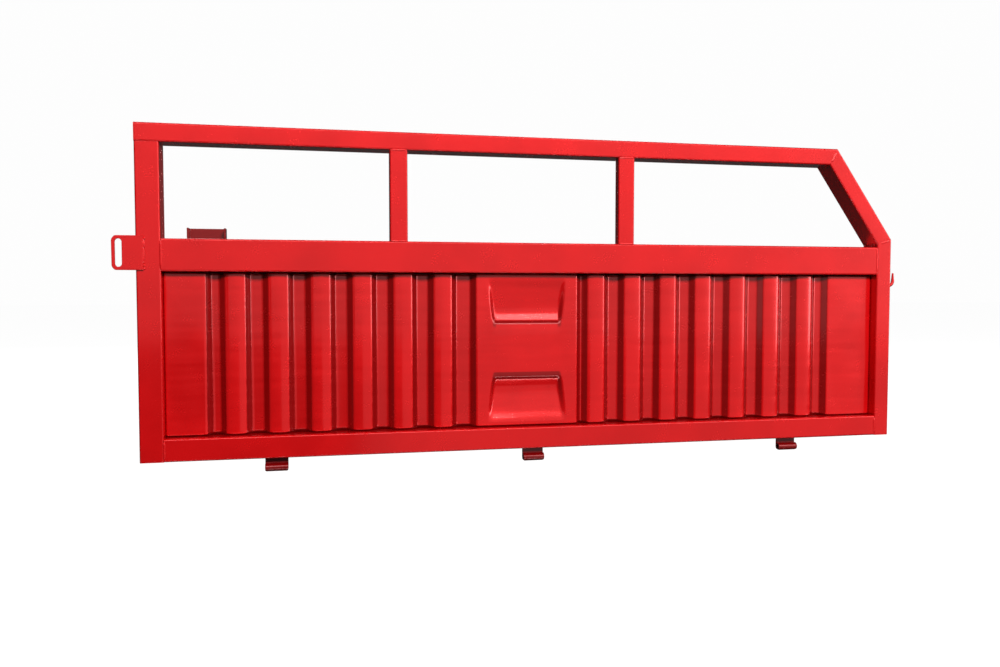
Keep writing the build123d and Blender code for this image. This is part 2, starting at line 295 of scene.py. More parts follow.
# ---------------------------------------------------- places taken from the frame
class Places:
    """Main planes and corners of the gate, read from the frame's nodes."""

    def __init__(self):
        top_low, top_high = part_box("top_rail")
        left_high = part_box("left_post")[1]
        right_low, right_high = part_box("right_post")
        mid_low, mid_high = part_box("mid_rail")
        bottom_low, bottom_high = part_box("bottom_rail")
        self.front = top_low.y
        self.back = top_high.y
        self.middle = (self.front + self.back) / 2
        self.left_inner = left_high.x
        self.right_inner = right_low.x
        self.foot = bottom_low.z
        self.bottom_top = bottom_high.z
        self.mid_under = mid_low.z
        self.mid_top = mid_high.z
        self.slant_start = Vector((top_high.x, self.middle, top_high.z))
        self.slant_end = Vector((right_high.x, self.middle, right_high.z))
        run = self.slant_end - self.slant_start
        self.slant_angle = atan2(-run.z, run.x)
        self.slant_length = run.length
        self.slant_width = right_high.x - right_low.x
        self.slant_inward = Vector((-sin(self.slant_angle), 0, -cos(self.slant_angle)))


def upper_mitre(places):
    """Direction along the gate across the joint of the top rail and the slanted post."""
    half = places.slant_angle / 2
    return Vector((cos(half), 0, -sin(half)))


def lower_mitre(places):
    """Direction along the post across the joint of the slanted post and the right post."""
    half = (places.slant_angle + pi / 2) / 2
    return Vector((cos(half), 0, -sin(half)))


# ------------------------------------------------------------- bench practice
def clear_bench():
    """Go back to object mode with nothing selected."""
    active = bpy.context.view_layer.objects.active
    if active is not None and active.mode != "OBJECT":
        bpy.ops.object.mode_set(mode="OBJECT")
    bpy.ops.object.select_all(action="DESELECT")


def take_up(piece):
    """Make one piece the only selected and active one."""
    clear_bench()
    piece.select_set(True)
    bpy.context.view_layer.objects.active = piece


def settle(name):
    """Name the active piece and move its place into its mesh."""
    piece = bpy.context.view_layer.objects.active
    piece.name = name
    piece.data.name = name
    bpy.ops.object.transform_apply(location=True, rotation=True, scale=True)
    return piece


def lay_plate(name, middle, rotation, width, height):
    """Start a flat sheet of one face, width by height before it is turned."""
    clear_bench()
    bpy.ops.mesh.primitive_plane_add(size=1, location=middle, rotation=rotation)
    bpy.context.view_layer.objects.active.scale = (width, height, 1)
    return settle(name)


def shape_it():
    """Open the active piece for shaping."""
    bpy.ops.object.mode_set(mode="EDIT")


def done():
    """Close the active piece after shaping."""
    bpy.ops.object.mode_set(mode="OBJECT")


def pick(kind, wanted):
    """Select only the vertices, edges or faces of the open piece that wanted accepts."""
    bpy.ops.mesh.select_all(action="DESELECT")
    bpy.ops.mesh.select_mode(type=kind)
    mesh = bpy.context.view_layer.objects.active.data
    shape = bmesh.from_edit_mesh(mesh)
    items = {"VERT": shape.verts, "EDGE": shape.edges, "FACE": shape.faces}[kind]
    for item in items:
        if wanted(item):
            item.select_set(True)
    shape.select_flush_mode()
    bmesh.update_edit_mesh(mesh, loop_triangles=False, destructive=False)


def runs_along(edge, direction):
    """True for an edge parallel to a direction."""
    run = edge.verts[1].co - edge.verts[0].co
    return run.length > 0 and run.cross(direction).length < PARALLEL * run.length


def lies_at(edge, axis, value):
    """True for an edge whose two ends both have that coordinate."""
    return all(abs(v.co[axis] - value) < SAME_PLACE for v in edge.verts)


def pull_out(move):
    """Extrude what is selected and move the new part."""
    bpy.ops.mesh.extrude_region_move(TRANSFORM_OT_translate={"value": move})


def cut_away(point, outward):
    """Cut the open piece with a plane, drop what lies outward and close the cut."""
    bpy.ops.mesh.select_all(action="SELECT")
    bpy.ops.mesh.bisect(plane_co=point, plane_no=outward, use_fill=True, clear_outer=True)


def score(point, normal):
    """Add a line of edges to the open piece where a plane crosses it."""
    bpy.ops.mesh.select_all(action="SELECT")
    bpy.ops.mesh.bisect(plane_co=point, plane_no=normal)


def apply_modifier(kind, **values):
    """Add a modifier to the active piece, set it up and apply it."""
    bpy.ops.object.modifier_add(type=kind)
    modifier = bpy.context.view_layer.objects.active.modifiers[-1]
    for key, value in values.items():
        setattr(modifier, key, value)
    bpy.ops.object.modifier_apply(modifier=modifier.name)


def face_outwards():
    """Merge doubles and turn every face of the active closed piece outwards."""
    shape_it()
    bpy.ops.mesh.select_all(action="SELECT")
    bpy.ops.mesh.remove_doubles(threshold=SAME_PLACE)
    bpy.ops.mesh.normals_make_consistent(inside=False)
    done()


def ease_edges(turn, spared=None):
    """Round the active piece's edges that turn further, but not those along spared."""
    shape_it()
    pick("EDGE", lambda edge: len(edge.link_faces) == 2 and edge.calc_face_angle(0) > turn
         and (spared is None or not runs_along(edge, spared)))
    bpy.ops.mesh.bevel(offset=settings("fittings").edge, segments=3, affect="EDGES")
    done()


def hand_over(piece, finish, slot, *nodes):
    """Smooth a finished piece, paint it and let it stand for its nodes in the frame."""
    take_up(piece)
    bpy.ops.object.shade_smooth_by_angle(angle=SMOOTH_ANGLE)
    apply_modifier("WEIGHTED_NORMAL", keep_sharp=True, weight=FLAT_FACE_WEIGHT)
    piece.data.materials.clear()
    piece.data.materials.append(finish)
    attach(piece, "root")
    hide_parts(*nodes)
    clear_bench()
    return piece


# ------------------------------------------------------------------- finishes
class Wire:
    """A shader socket that takes part in ordinary sums."""

    def __init__(self, finish, socket):
        self.finish = finish
        self.socket = socket

    def _sum(self, operation, first, second):
        node = self.finish.node("ShaderNodeMath", {"operation": operation},
                                {0: first, 1: second})
        return Wire(self.finish, node.outputs[0])

    def __add__(self, other):
        return self._sum("ADD", self, other)

    def __radd__(self, other):
        return self._sum("ADD", other, self)

    def __sub__(self, other):
        return self._sum("SUBTRACT", self, other)

    def __rsub__(self, other):
        return self._sum("SUBTRACT", other, self)

    def __mul__(self, other):
        return self._sum("MULTIPLY", self, other)

    def __rmul__(self, other):
        return self._sum("MULTIPLY", other, self)


class Finish:
    """A material and its nodes, built up from a painter's sums."""

    def __init__(self, name):
        self.material = bpy.data.materials.new(name)
        self.material.use_nodes = True
        self.tree = self.material.node_tree
        self.tree.nodes.clear()
        self.place = self.wire("ShaderNodeTexCoord", {}, {}, "Object")

    def node(self, kind, choices, sockets):
        """Add a node: its choices are set first, then the values or wires of its sockets."""
        node = self.tree.nodes.new(kind)
        for key, value in choices.items():
            setattr(node, key, value)
        for key, value in sockets.items():
            if isinstance(value, Wire):
                self.tree.links.new(value.socket, node.inputs[key])
            else:
                node.inputs[key].default_value = value
        return node

    def wire(self, kind, choices, sockets, output=0):
        """Add a node and give one of its outputs as a wire."""
        return Wire(self, self.node(kind, choices, sockets).outputs[output])

    def noise(self, scale, detail=2.0, stretch=None):
        """Cloudy pattern from 0 to 1 with about scale clouds to the metre."""
        place = self.place
        if stretch is not None:
            place = self.wire("ShaderNodeMapping", {}, {"Vector": self.place, "Scale": stretch},
                              "Vector")
        return self.wire("ShaderNodeTexNoise", {},
                         {"Vector": place, "Scale": scale, "Detail": detail}, "Fac")

    def blend(self, share, first, second):
        """Colour between two others."""
        return self.wire("ShaderNodeMix", {"data_type": "RGBA"},
                         {"Factor": share, 6: first, 7: second}, 2)

    def between(self, value, low, high):
        """Share from 0 to 1 of the way that a value lies from low to high, softened."""
        return self.wire("ShaderNodeMapRange", {"interpolation_type": "SMOOTHSTEP"},
                         {"Value": value, "From Min": low, "From Max": high})

    def mark(self, name):
        """Value that a piece's mesh carries under a name."""
        return self.wire("ShaderNodeAttribute", {"attribute_name": name}, {}, "Fac")

    def relief(self, height, distance, under=None):
        """Surface normal over a height pattern, on top of another if given."""
        sockets = {"Height": height, "Distance": distance, "Strength": 1.0}
        if under is not None:
            sockets["Normal"] = under
        return self.wire("ShaderNodeBump", {}, sockets, "Normal")

    def close(self, colour, roughness, normal):
        """Join everything into the shader."""
        paint = settings("paint")
        shader = self.node("ShaderNodeBsdfPrincipled", {},
                           {"Base Color": colour, "Roughness": roughness, "Normal": normal,
                            "Metallic": paint.lustre, "IOR": 1.5,
                            "Coat Weight": paint.gloss, "Coat Roughness": paint.coat_blur})
        self.node("ShaderNodeOutputMaterial", {}, {"Surface": Wire(self, shader.outputs[0])})
        return self.material


# Clouds to the metre in each pattern of the paint and of the weld metal.
PAINT_DRIFT = 7.0
PAINT_HAZE = 26.0
FINE_HAZE = 240.0
LONG_WAVES = 11.0
DIMPLES = 620.0
WELD_DRIFT = 60.0
WELD_HAZE = 300.0
WELD_LUMPS = 330.0
WELD_GRIT = 1300.0
# How much closer together the patterns lie along X, Y and Z.
TUBE_WAVES = (0.35, 1.0, 1.6)
SHEET_WAVES = (1.0, 1.0, 0.55)
EVEN_WAVES = (1.0, 1.0, 1.0)
LEVEL_RIPPLES = (5.0, 1.0, 36.0)
LUMP_HEIGHT = 0.0005
GRIT_HEIGHT = 0.00006
# Part of the drift pattern over which the red deepens, and the two hazes' shares in the dullness.
DRIFT_START = 0.35
DRIFT_END = 0.68
HAZE_SHARE = 0.7
# Roughness that weld metal adds everywhere and in its hazy places.
WELD_DULLNESS = 0.06
WELD_HAZE_DULLNESS = 0.12


def darker(colour, loss):
    """Colour with a share of it lost."""
    return (*(channel * (1 - loss) for channel in colour), 1.0)


def gloss_red(name, waves, peel, shade_and_ripples=False, painted_shade=0.0):
    """Gloss red paint with long waves and orange peel; on the sheet ripples and painted shade; a
    darker copy stands for painted shade.
    """
    paint = settings("paint")
    finish = Finish(name)
    drift = finish.between(finish.noise(PAINT_DRIFT, 3.0), DRIFT_START, DRIFT_END)
    colour = finish.blend(drift, darker(paint.red, painted_shade), darker(paint.deep_red, painted_shade))
    # Painted shade on the sheet, from its two marks: the ribs' sides and pockets' walls, and the
    # lips.
    if shade_and_ripples:
        for mark, loss in (("painted_recess_shade", paint.painted_recess_shade), ("seam", paint.seam)):
            shade_share = finish.between(finish.mark(mark), 0.0, 1.0)
            colour = finish.blend(shade_share, colour, darker(paint.deep_red, loss))
    haze = (finish.noise(PAINT_HAZE, 4.0) * HAZE_SHARE
            + finish.noise(FINE_HAZE) * (1 - HAZE_SHARE))
    roughness = paint.roughness + paint.dullness * haze
    surface = finish.relief(finish.noise(LONG_WAVES, stretch=waves), paint.sag)
    surface = finish.relief(finish.noise(DIMPLES), paint.peel * peel, under=surface)
    if shade_and_ripples:
        ripples = finish.noise(1.0, 1.0, LEVEL_RIPPLES)
        surface = finish.relief(ripples, paint.ripple, under=surface)
    return finish.close(colour, roughness, surface)


def weld_red(name):
    """The same paint over rough weld metal."""
    paint = settings("paint")
    finish = Finish(name)
    colour = finish.blend(finish.noise(WELD_DRIFT, 3.0), darker(paint.red, 0),
                          darker(paint.deep_red, 0))
    haze = finish.noise(WELD_HAZE, 3.0)
    roughness = paint.roughness + WELD_DULLNESS + WELD_HAZE_DULLNESS * haze
    lumps = finish.relief(finish.noise(WELD_LUMPS, 3.0), LUMP_HEIGHT)
    grit = finish.relief(finish.noise(WELD_GRIT), GRIT_HEIGHT, under=lumps)
    return finish.close(colour, roughness, grit)


FINISHES = ("frame", "sheet", "fitting", "painted_shade", "weld")


def finishes():
    """The five finishes, made once and found again by name."""
    found = bpy.data.materials.get("frame_red")
    if found is None:
        gloss_red("frame_red", TUBE_WAVES, 1.0)
        gloss_red("sheet_red", SHEET_WAVES, 0.8, shade_and_ripples=True)
        gloss_red("fitting_red", EVEN_WAVES, 1.6)
        # A darker copy of the red, as painted shade on the hinge eyes and the bracket.
        gloss_red("painted_shade_red", EVEN_WAVES, 1.6, painted_shade=settings("paint").painted_shade)
        weld_red("weld_red")
    return {key: bpy.data.materials[key + "_red"] for key in FINISHES}


# ---------------------------------------------------------------- frame tubes
def round_long_edges(along):
    """Open the active tube and round its four long edges."""
    tubes = settings("tubes")
    shape_it()
    pick("EDGE", lambda edge: runs_along(edge, along))
    bpy.ops.mesh.bevel(offset=tubes.corner, segments=tubes.corner_steps, affect="EDGES")


def square_tube(name, low, high, along):
    """Start a tube from a block and round its four long edges."""
    clear_bench()
    bpy.ops.mesh.primitive_cube_add(size=1, location=(low + high) / 2, scale=high - low)
    piece = settle(name)
    round_long_edges(along)
    return piece


def soften_ends(along):
    """Round the rims of the open tube's two ends."""
    pick("FACE", lambda face: abs(face.normal.dot(along)) > END_FACE)
    bpy.ops.mesh.region_to_loop()
    bpy.ops.mesh.bevel(offset=settings("tubes").end_round, segments=2, affect="EDGES")
    done()


class GATE_OT_frame_tubes(bpy.types.Operator):
    """Build the eight tubes of the gate's frame"""

    bl_idname = "gate.frame_tubes"
    bl_label = "Frame tubes"

    def execute(self, context):
        places = Places()
        for name, along in (("left_post", UPWARD), ("mid_rail", RIGHTWARD),
                            ("bottom_rail", RIGHTWARD), ("window_post_left", UPWARD),
                            ("window_post_right", UPWARD)):
            low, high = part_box(name)
            self.finish_tube(square_tube(name + "_tube", low, high, along), along, name)

        low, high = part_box("top_rail")
        reach = Vector((high.z - low.z, 0, 0))
        piece = square_tube("top_rail_tube", low, high + reach, RIGHTWARD)
        cut_away(places.slant_start, upper_mitre(places))
        self.finish_tube(piece, RIGHTWARD, "top_rail")

        low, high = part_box("right_post")
        piece = square_tube("right_post_tube", low, high, UPWARD)
        cut_away(places.slant_end, -lower_mitre(places))
        self.finish_tube(piece, UPWARD, "right_post")

        self.slanted_post(places)
        return {"FINISHED"}

    def finish_tube(self, piece, along, node):
        """Soften a tube's ends and hand it over."""
        soften_ends(along)
        hand_over(piece, finishes()["frame"], "frame_paint", node)

    def slanted_post(self, places):
        """Build the slanted post, whose two cuts stay sharp for the weld."""
        along = (places.slant_end - places.slant_start).normalized()
        width = places.slant_width
        middle = (places.slant_start + places.slant_end + places.slant_inward * width) / 2
        size = (places.slant_length + 2 * width, places.back - places.front, width)
        clear_bench()
        bpy.ops.mesh.primitive_cube_add(size=1, location=middle, scale=size,
                                        rotation=(0, places.slant_angle, 0))
        piece = settle("slanted_post_tube")
        round_long_edges(along)
        cut_away(places.slant_start, -upper_mitre(places))
        cut_away(places.slant_end, lower_mitre(places))
        done()
        hand_over(piece, finishes()["frame"], "frame_paint", "slanted_post")


# --------------------------------------------------------------- pressed sheet
# Widths of the mesh's columns in the middle field and in the two end fields, and the number of
# columns over a rib's crest.
FIELD_COLUMN = 0.0026
FLAT_COLUMN = 0.009
CREST_COLUMNS = 6
# Heights of the mesh's fine rows at a pocket's step and near a lip.
STEP_ROW = 0.0016
LIP_ROW = 0.0028
# Reach of the fine rows: before the step, past it as a share of its run, and in from a lip.
STEP_AHEAD = 0.003
STEP_SHARE = 0.56
LIP_ZONE = 0.014
# Sheet between the last row and the lip, strips round a lip, and the flange before it is drawn
# back to the rails' middle.
ROW_SPARE = 0.001
LIP_STEPS = 5
FLANGE_START = 0.001
FLANGE_CLEAR = 0.0005
# How far the painted shade along the lip's seam reaches on to the front.
LIP_SHADE_REACH = 0.001
# Reach of the ribs' pull on the lip, and how much weaker it is at the upper lip.
DRAW_REACH = 0.009
UPPER_DRAW = 0.5
# Share of a pocket's length at which its floor is fully deep.
FLOOR_EASE = 0.72


class SheetLayout:
    """Folds of the pressed sheet along the gate, read from the frame."""

    def __init__(self):
        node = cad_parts["side_panel"]
        self.low, self.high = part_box("side_panel")
        self.crest = self.low.y
        foot = [v.co for v in node.data.vertices if abs(v.co.z - self.low.z) < SAME_PLACE]
        depths = sorted({round(p.y, 5) for p in foot if p.y < self.high.y - 0.003})
        self.valley = depths[-1]
        crest_x = sorted({round(p.x, 5) for p in foot if abs(p.y - self.crest) < SAME_PLACE})
        valley_x = sorted({round(p.x, 5) for p in foot if abs(p.y - self.valley) < SAME_PLACE})
        self.crests = list(zip(crest_x[::2], crest_x[1::2]))
        self.valleys = list(zip(valley_x[::2], valley_x[1::2]))
        inner = self.crests[1:-1]
        self.field = max(inner, key=lambda span: span[1] - span[0])
        self.flats = (self.crests[0], self.field, self.crests[-1])

    def depth_share(self, x):
        """How deep the sheet lies at x, from 0 on a crest to 1 in a valley."""
        for (_, end), (valley_start, valley_end), (start, _) in zip(
                self.crests, self.valleys, self.crests[1:]):
            if end < x < valley_start:
                return (x - end) / (valley_start - end)
            if valley_start <= x <= valley_end:
                return 1.0
            if valley_end < x < start:
                return (start - x) / (start - valley_end)
        return 0.0

    def on_side(self, x):
        """How surely x lies on a rib's steep side, from 0 to 1, with 0.4 in a valley: the share
        of painted shade on the ribs.
        """
        share = self.depth_share(x)
        return smooth(share / 0.2) * (1 - 0.6 * smooth((share - 0.8) / 0.2))


def crest_line(layout, sheet):
    """Points along the sheet's front from left to right, with True at each fold."""
    line = []
    for i, span in enumerate(layout.crests):
        start, end = span
        flat = span in layout.flats
        if i == 0:
            start += sheet.lip
        if i == len(layout.crests) - 1:
            end -= sheet.lip
        width = end - start
        if span == layout.field:
            steps = round(width / FIELD_COLUMN)
        elif flat:
            steps = round(width / FLAT_COLUMN)
        else:
            steps = CREST_COLUMNS
        for k in range(steps + 1):
            share = k / steps
            rounded = sheet.crown * (1 - 4 * share * (1 - share))
            inset = sheet.flat_inset if flat else rounded
            fold = (k == 0 and i > 0) or (k == steps and i < len(layout.crests) - 1)
            line.append((start + width * share, layout.crest + inset, fold))
        if i < len(layout.valleys):
            valley_start, valley_end = layout.valleys[i]
            if valley_end - valley_start < 3 * sheet.fold:
                line.append(((valley_start + valley_end) / 2, layout.valley, True))
            else:
                line.append((valley_start, layout.valley, True))
                line.append(((valley_start + valley_end) / 2, layout.valley, False))
                line.append((valley_end, layout.valley, True))
    return line


def turned_lip(radius, steps):
    """Moves that carry an edge outwards and backwards round a quarter circle."""
    moves = []
    for k in range(steps):
        first = pi / 2 * k / steps
        second = pi / 2 * (k + 1) / steps
        moves.append((radius * (sin(second) - sin(first)), radius * (cos(first) - cos(second))))
    return moves


def smooth(share):
    """Ease a share from 0 to 1 in and out."""
    share = min(1.0, max(0.0, share))
    return share * share * (3 - 2 * share)


POCKET_WALL = ((0.0, 0.0), (0.06, 0.04), (0.27, 0.12), (0.33, 0.19), (0.44, 0.42), (0.5, 0.52),
               (0.67, 0.74), (0.82, 0.91), (0.92, 0.975), (1.0, 1.0))


def wall_share(across):
    """Share of a pocket's depth reached across its wall: a crease, a fall, a soft landing."""
    if across <= 0:
        return 0.0
    if across >= 1:
        return 1.0
    last = len(POCKET_WALL) - 1
    k = max(i for i in range(last) if POCKET_WALL[i][0] <= across)
    slopes = []
    for i in (k, k + 1):
        (x0, y0), (x1, y1) = POCKET_WALL[max(0, i - 1)], POCKET_WALL[min(last, i + 1)]
        slopes.append(0.0 if i == last else (y1 - y0) / (x1 - x0))
    (x0, y0), (x1, y1) = POCKET_WALL[k], POCKET_WALL[k + 1]
    width = x1 - x0
    t = (across - x0) / width
    return (y0 * (2 * t ** 3 - 3 * t ** 2 + 1) + y1 * (3 * t ** 2 - 2 * t ** 3)
            + width * (slopes[0] * (t ** 3 - 2 * t ** 2 + t) + slopes[1] * (t ** 3 - t ** 2)))


class PocketPlace:
    """A place in the field, seen from the pocket that it may lie in.

    x is counted from the field's middle and height from its centre.
    """

    def __init__(self, x, height, half_length, pockets):
        inner_end = half_length - pockets.margin - pockets.length
        from_step = abs(height) - inner_end
        self.upper = height > 0
        self.inside = 0 < from_step < pockets.length
        self.share = 1 - from_step / pockets.length
        half_width = (pockets.narrow * self.share + pockets.wide * (1 - self.share)) / 2
        self.across = (half_width - abs(x)) / pockets.side_run
        self.down = from_step / pockets.step_run
        self.up = (pockets.length - from_step) / pockets.shallow_run

    def depth(self, pockets):
        """How deep the place is pressed."""
        fall = sin(pi / 2 * min(1.0, self.share / FLOOR_EASE))
        floor = pockets.depth * (pockets.shallow + (1 - pockets.shallow) * fall)
        return floor * wall_share(self.down) * smooth(self.across) * smooth(self.up)

    def shadow(self):
        """Share of painted shade for the place, from 0 to 1: how surely it lies on the pocket's
        steep wall.
        """
        start = 0.24 if self.upper else 0.07
        step = (smooth((self.down - start) / 0.06) * smooth((0.5 - self.down) / 0.08)
                * smooth(self.across / 0.6))
        side = (smooth(self.across / 0.4) * smooth((1 - self.across) / 0.4)
                * smooth(self.down / 0.3) * self.share)
        return max(step, side)


def buckle(x, z, span, low, high):
    """Soft hollow of a flat field, zero at its borders."""
    u = (x - span[0]) / (span[1] - span[0])
    v = (z - low) / (high - low)
    edge = smooth(u / 0.18) * smooth((1 - u) / 0.18) * smooth(v / 0.1) * smooth((1 - v) / 0.1)
    swell = sin(pi * v * 1.5 + 0.5) * 0.6 + sin(pi * (v * 3.1 + u * 1.7)) * 0.25
    return edge * (swell + 0.3 * sin(2 * pi * u + 4 * v))


class GATE_OT_pressed_sheet(bpy.types.Operator):
    """Build the ribbed sheet with its two pockets and turned lips"""

    bl_idname = "gate.pressed_sheet"
    bl_label = "Pressed sheet"

    def execute(self, context):
        sheet = settings("sheet")
        layout = SheetLayout()
        self.fold_sheet(layout, crest_line(layout, sheet), sheet)
        self.score_rows(layout, sheet)
        self.turn_lips(layout, sheet)
        self.press(layout, sheet)
        piece = bpy.context.view_layer.objects.active
        apply_modifier("SOLIDIFY", thickness=sheet.thickness, offset=-1.0)
        for vertex in piece.data.vertices:
            vertex.co.z = min(layout.high.z, max(layout.low.z, vertex.co.z))
        hand_over(piece, finishes()["sheet"], "panel_paint", "side_panel")
        return {"FINISHED"}

    def fold_sheet(self, layout, line, sheet):
        """Lay the first strip, carry its edge along the ribs and round the folds."""
        low = layout.low.z + sheet.lip
        high = layout.high.z - sheet.lip
        (first_x, first_y, _), (second_x, second_y, _) = line[:2]
        lay_plate("pressed_sheet", ((first_x + second_x) / 2, first_y, (low + high) / 2),
                  (pi / 2, 0, 0), second_x - first_x, high - low)
        shape_it()
        pick("EDGE", lambda edge: lies_at(edge, 0, second_x))
        at = (second_x, second_y)
        for x, y, _ in line[2:]:
            pull_out((x - at[0], y - at[1], 0))
            at = (x, y)
        folds = {(round(x, 6), round(y, 6)) for x, y, fold in line if fold}

        def is_fold(edge):
            a, b = (v.co for v in edge.verts)
            return abs(a.x - b.x) < SAME_PLACE and any(
                abs(a.x - x) < SAME_PLACE and abs(a.y - y) < SAME_PLACE for x, y in folds)

        pick("EDGE", is_fold)
        bpy.ops.mesh.bevel(offset=sheet.fold, segments=sheet.fold_steps, affect="EDGES")

    def score_rows(self, layout, sheet):
        """Cut the sheet into rows, fine ones where the pockets step and at both lips."""
        pockets = settings("pockets")
        half = (layout.high.z - layout.low.z) / 2
        centre = (layout.high.z + layout.low.z) / 2
        inner_end = half - pockets.margin - pockets.length
        heights = []
        z = 0.0
        while z < half - sheet.lip - ROW_SPARE:
            heights.append(z)
            if inner_end - STEP_AHEAD < z < inner_end + pockets.step_run * STEP_SHARE:
                z += STEP_ROW
            elif z > half - sheet.lip - LIP_ZONE:
                z += LIP_ROW
            else:
                z += sheet.row
        for z in heights:
            score((0, 0, centre + z), UPWARD)
            if z > 0:
                score((0, 0, centre - z), UPWARD)

    def turn_lips(self, layout, sheet):
        """Turn all four borders backwards, and run them back to the rails' middle."""
        for axis in (2, 0):
            for border, outward in ((layout.high[axis] - sheet.lip, 1),
                                    (layout.low[axis] + sheet.lip, -1)):
                pick("EDGE", lambda edge: lies_at(edge, axis, border))
                for out, backward in turned_lip(sheet.lip, LIP_STEPS):
                    move = Vector((0, backward, 0))
                    move[axis] = outward * out
                    pull_out(move)
                pull_out((0, FLANGE_START, 0))
                bpy.ops.transform.resize(value=(1, 0, 1),
                                         center_override=(0, layout.high.y, 0))
        done()

    def press(self, layout, sheet):
        """Press the pockets, draw in the lips at the valleys, let the flats buckle and mark where
        shade is painted.
        """
        pockets = settings("pockets")
        piece = bpy.context.view_layer.objects.active
        half = (layout.high.z - layout.low.z) / 2
        centre = (layout.high.z + layout.low.z) / 2
        middle = sum(layout.field) / 2
        low = layout.low.z + sheet.lip
        high = layout.high.z - sheet.lip
        # Marks for painted shade: the ribs' steep sides and pockets' walls, and the turned lips.
        painted_recess_shade = piece.data.attributes.new("painted_recess_shade", "FLOAT", "POINT")
        seam = piece.data.attributes.new("seam", "FLOAT", "POINT")
        for vertex in piece.data.vertices:
            p = vertex.co
            p.y = min(p.y, layout.high.y)
            painted_recess_shade.data[vertex.index].value = layout.on_side(p.x)
            seam.data[vertex.index].value = max(smooth((low + LIP_SHADE_REACH - p.z) / sheet.lip),
                                                smooth((p.z - high) / sheet.lip))
            if low - SAME_PLACE <= p.z <= high + SAME_PLACE:
                for span in layout.flats:
                    if span[0] + sheet.lip < p.x < span[1] - sheet.lip:
                        p.y += sheet.buckle * buckle(p.x, p.z, span, low, high)
                if layout.field[0] < p.x < layout.field[1]:
                    place = PocketPlace(p.x - middle, p.z - centre, half, pockets)
                    p.y += place.depth(pockets) if place.inside else 0.0
                    # Painted shade on the pocket's steep wall takes the place of the rib mark
                    # here.
                    painted_recess_shade.data[vertex.index].value = place.shadow() if place.inside else 0.0
            self.draw_in(p, layout, sheet, centre, half - sheet.lip)
        piece.data.update()

    def draw_in(self, p, layout, sheet, centre, flat_half):
        """Draw one point of a lip in where the sheet falls back into a valley."""
        from_centre = abs(p.z - centre)
        nearness = (from_centre - (flat_half - LIP_ZONE)) / LIP_ZONE
        if nearness <= 0 or p.y >= layout.high.y - FLANGE_CLEAR:
            return
        depth = sum(layout.depth_share(p.x + DRAW_REACH * k / 4) for k in range(-4, 5)) / 9
        over = max(0.0, (from_centre - flat_half) / sheet.lip)
        draw = sheet.lip_wave * depth * smooth(nearness) * (1 - over * over)
        p.z += draw if p.z < centre else -draw * UPPER_DRAW


# ------------------------------------------------------------------- fittings
# Gap left where the rolled strap comes back to its own straight part.
EYE_MOUTH = 0.001
RING_STEPS = 48
# Plate beyond the hasp's right edge that is cut off again, past its corner.
HASP_SPARE = 0.004
HASP_BOW_REACH = 0.012
# The hook's bend, how its root swells and its straight part tapers, and its rounded tip.
HOOK_BEND = 0.012
HOOK_ROOT_SWELL = 1.1
HOOK_STRAIGHTS = 4
HOOK_TAPER = 0.975
HOOK_TIP_ROUND = 0.0005
HOOK_TIP_SHARES = (0.82, 0.5)
HOOK_TIP_STEPS = 8
BRACKET_BEND = 0.006


class GATE_OT_hinge_eyes(bpy.types.Operator):
    """Build the three rolled hinge eyes under the bottom rail"""

    bl_idname = "gate.hinge_eyes"
    bl_label = "Hinge eyes"

    def execute(self, context):
        first_low, first_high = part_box(HINGE_EYES[0])
        straps = [self.roll_eye(first_low, first_high)]
        for name in HINGE_EYES[1:]:
            copied = straps[0].copy()
            copied.data = straps[0].data.copy()
            context.scene.collection.objects.link(copied)
            copied.data.transform(Matrix.Translation(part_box(name)[0] - first_low))
            straps.append(copied)
        for name, strap in zip(HINGE_EYES, straps):
            strap.name = name + "_strap"
            # The eyes take the darker red copy: painted shade.
            hand_over(strap, finishes()["painted_shade"], "fitting_paint", name)
        return {"FINISHED"}

    def roll_eye(self, low, high):
        """Roll a flat strap round the hinge axis, which lies at Y 0 and Z 0."""
        fittings = settings("fittings")
        outer = -low.z
        strap = fittings.strap
        clear_bench()
        size = Vector((high.x - low.x, strap, high.z))
        middle = Vector(((low.x + high.x) / 2, outer - strap / 2, high.z / 2))
        bpy.ops.mesh.primitive_cube_add(size=1, location=middle, scale=size)
        piece = settle("hinge_strap")
        shape_it()
        pick("FACE", lambda face: face.normal.z < -0.9)
        inside = outer - strap - EYE_MOUTH
        turn = 3 * pi / 2 + atan2(inside, (outer ** 2 - inside ** 2) ** 0.5)
        bpy.ops.mesh.spin(steps=fittings.eye_steps, angle=turn, center=(0, 0, 0), axis=(1, 0, 0))
        done()
        face_outwards()
        self.round_foot(piece, low, high)
        ease_edges(ROLLED_EDGE)
        return piece

    def round_foot(self, piece, low, high):
        """Draw the eye's two lowest corners in to a quarter circle."""
        radius = settings("fittings").eye_corner
        middle = (low.x + high.x) / 2
        for vertex in piece.data.vertices:
            above = vertex.co.z - low.z
            if above < radius:
                drawn = radius - (radius ** 2 - (radius - above) ** 2) ** 0.5
                vertex.co.x += drawn if vertex.co.x < middle else -drawn


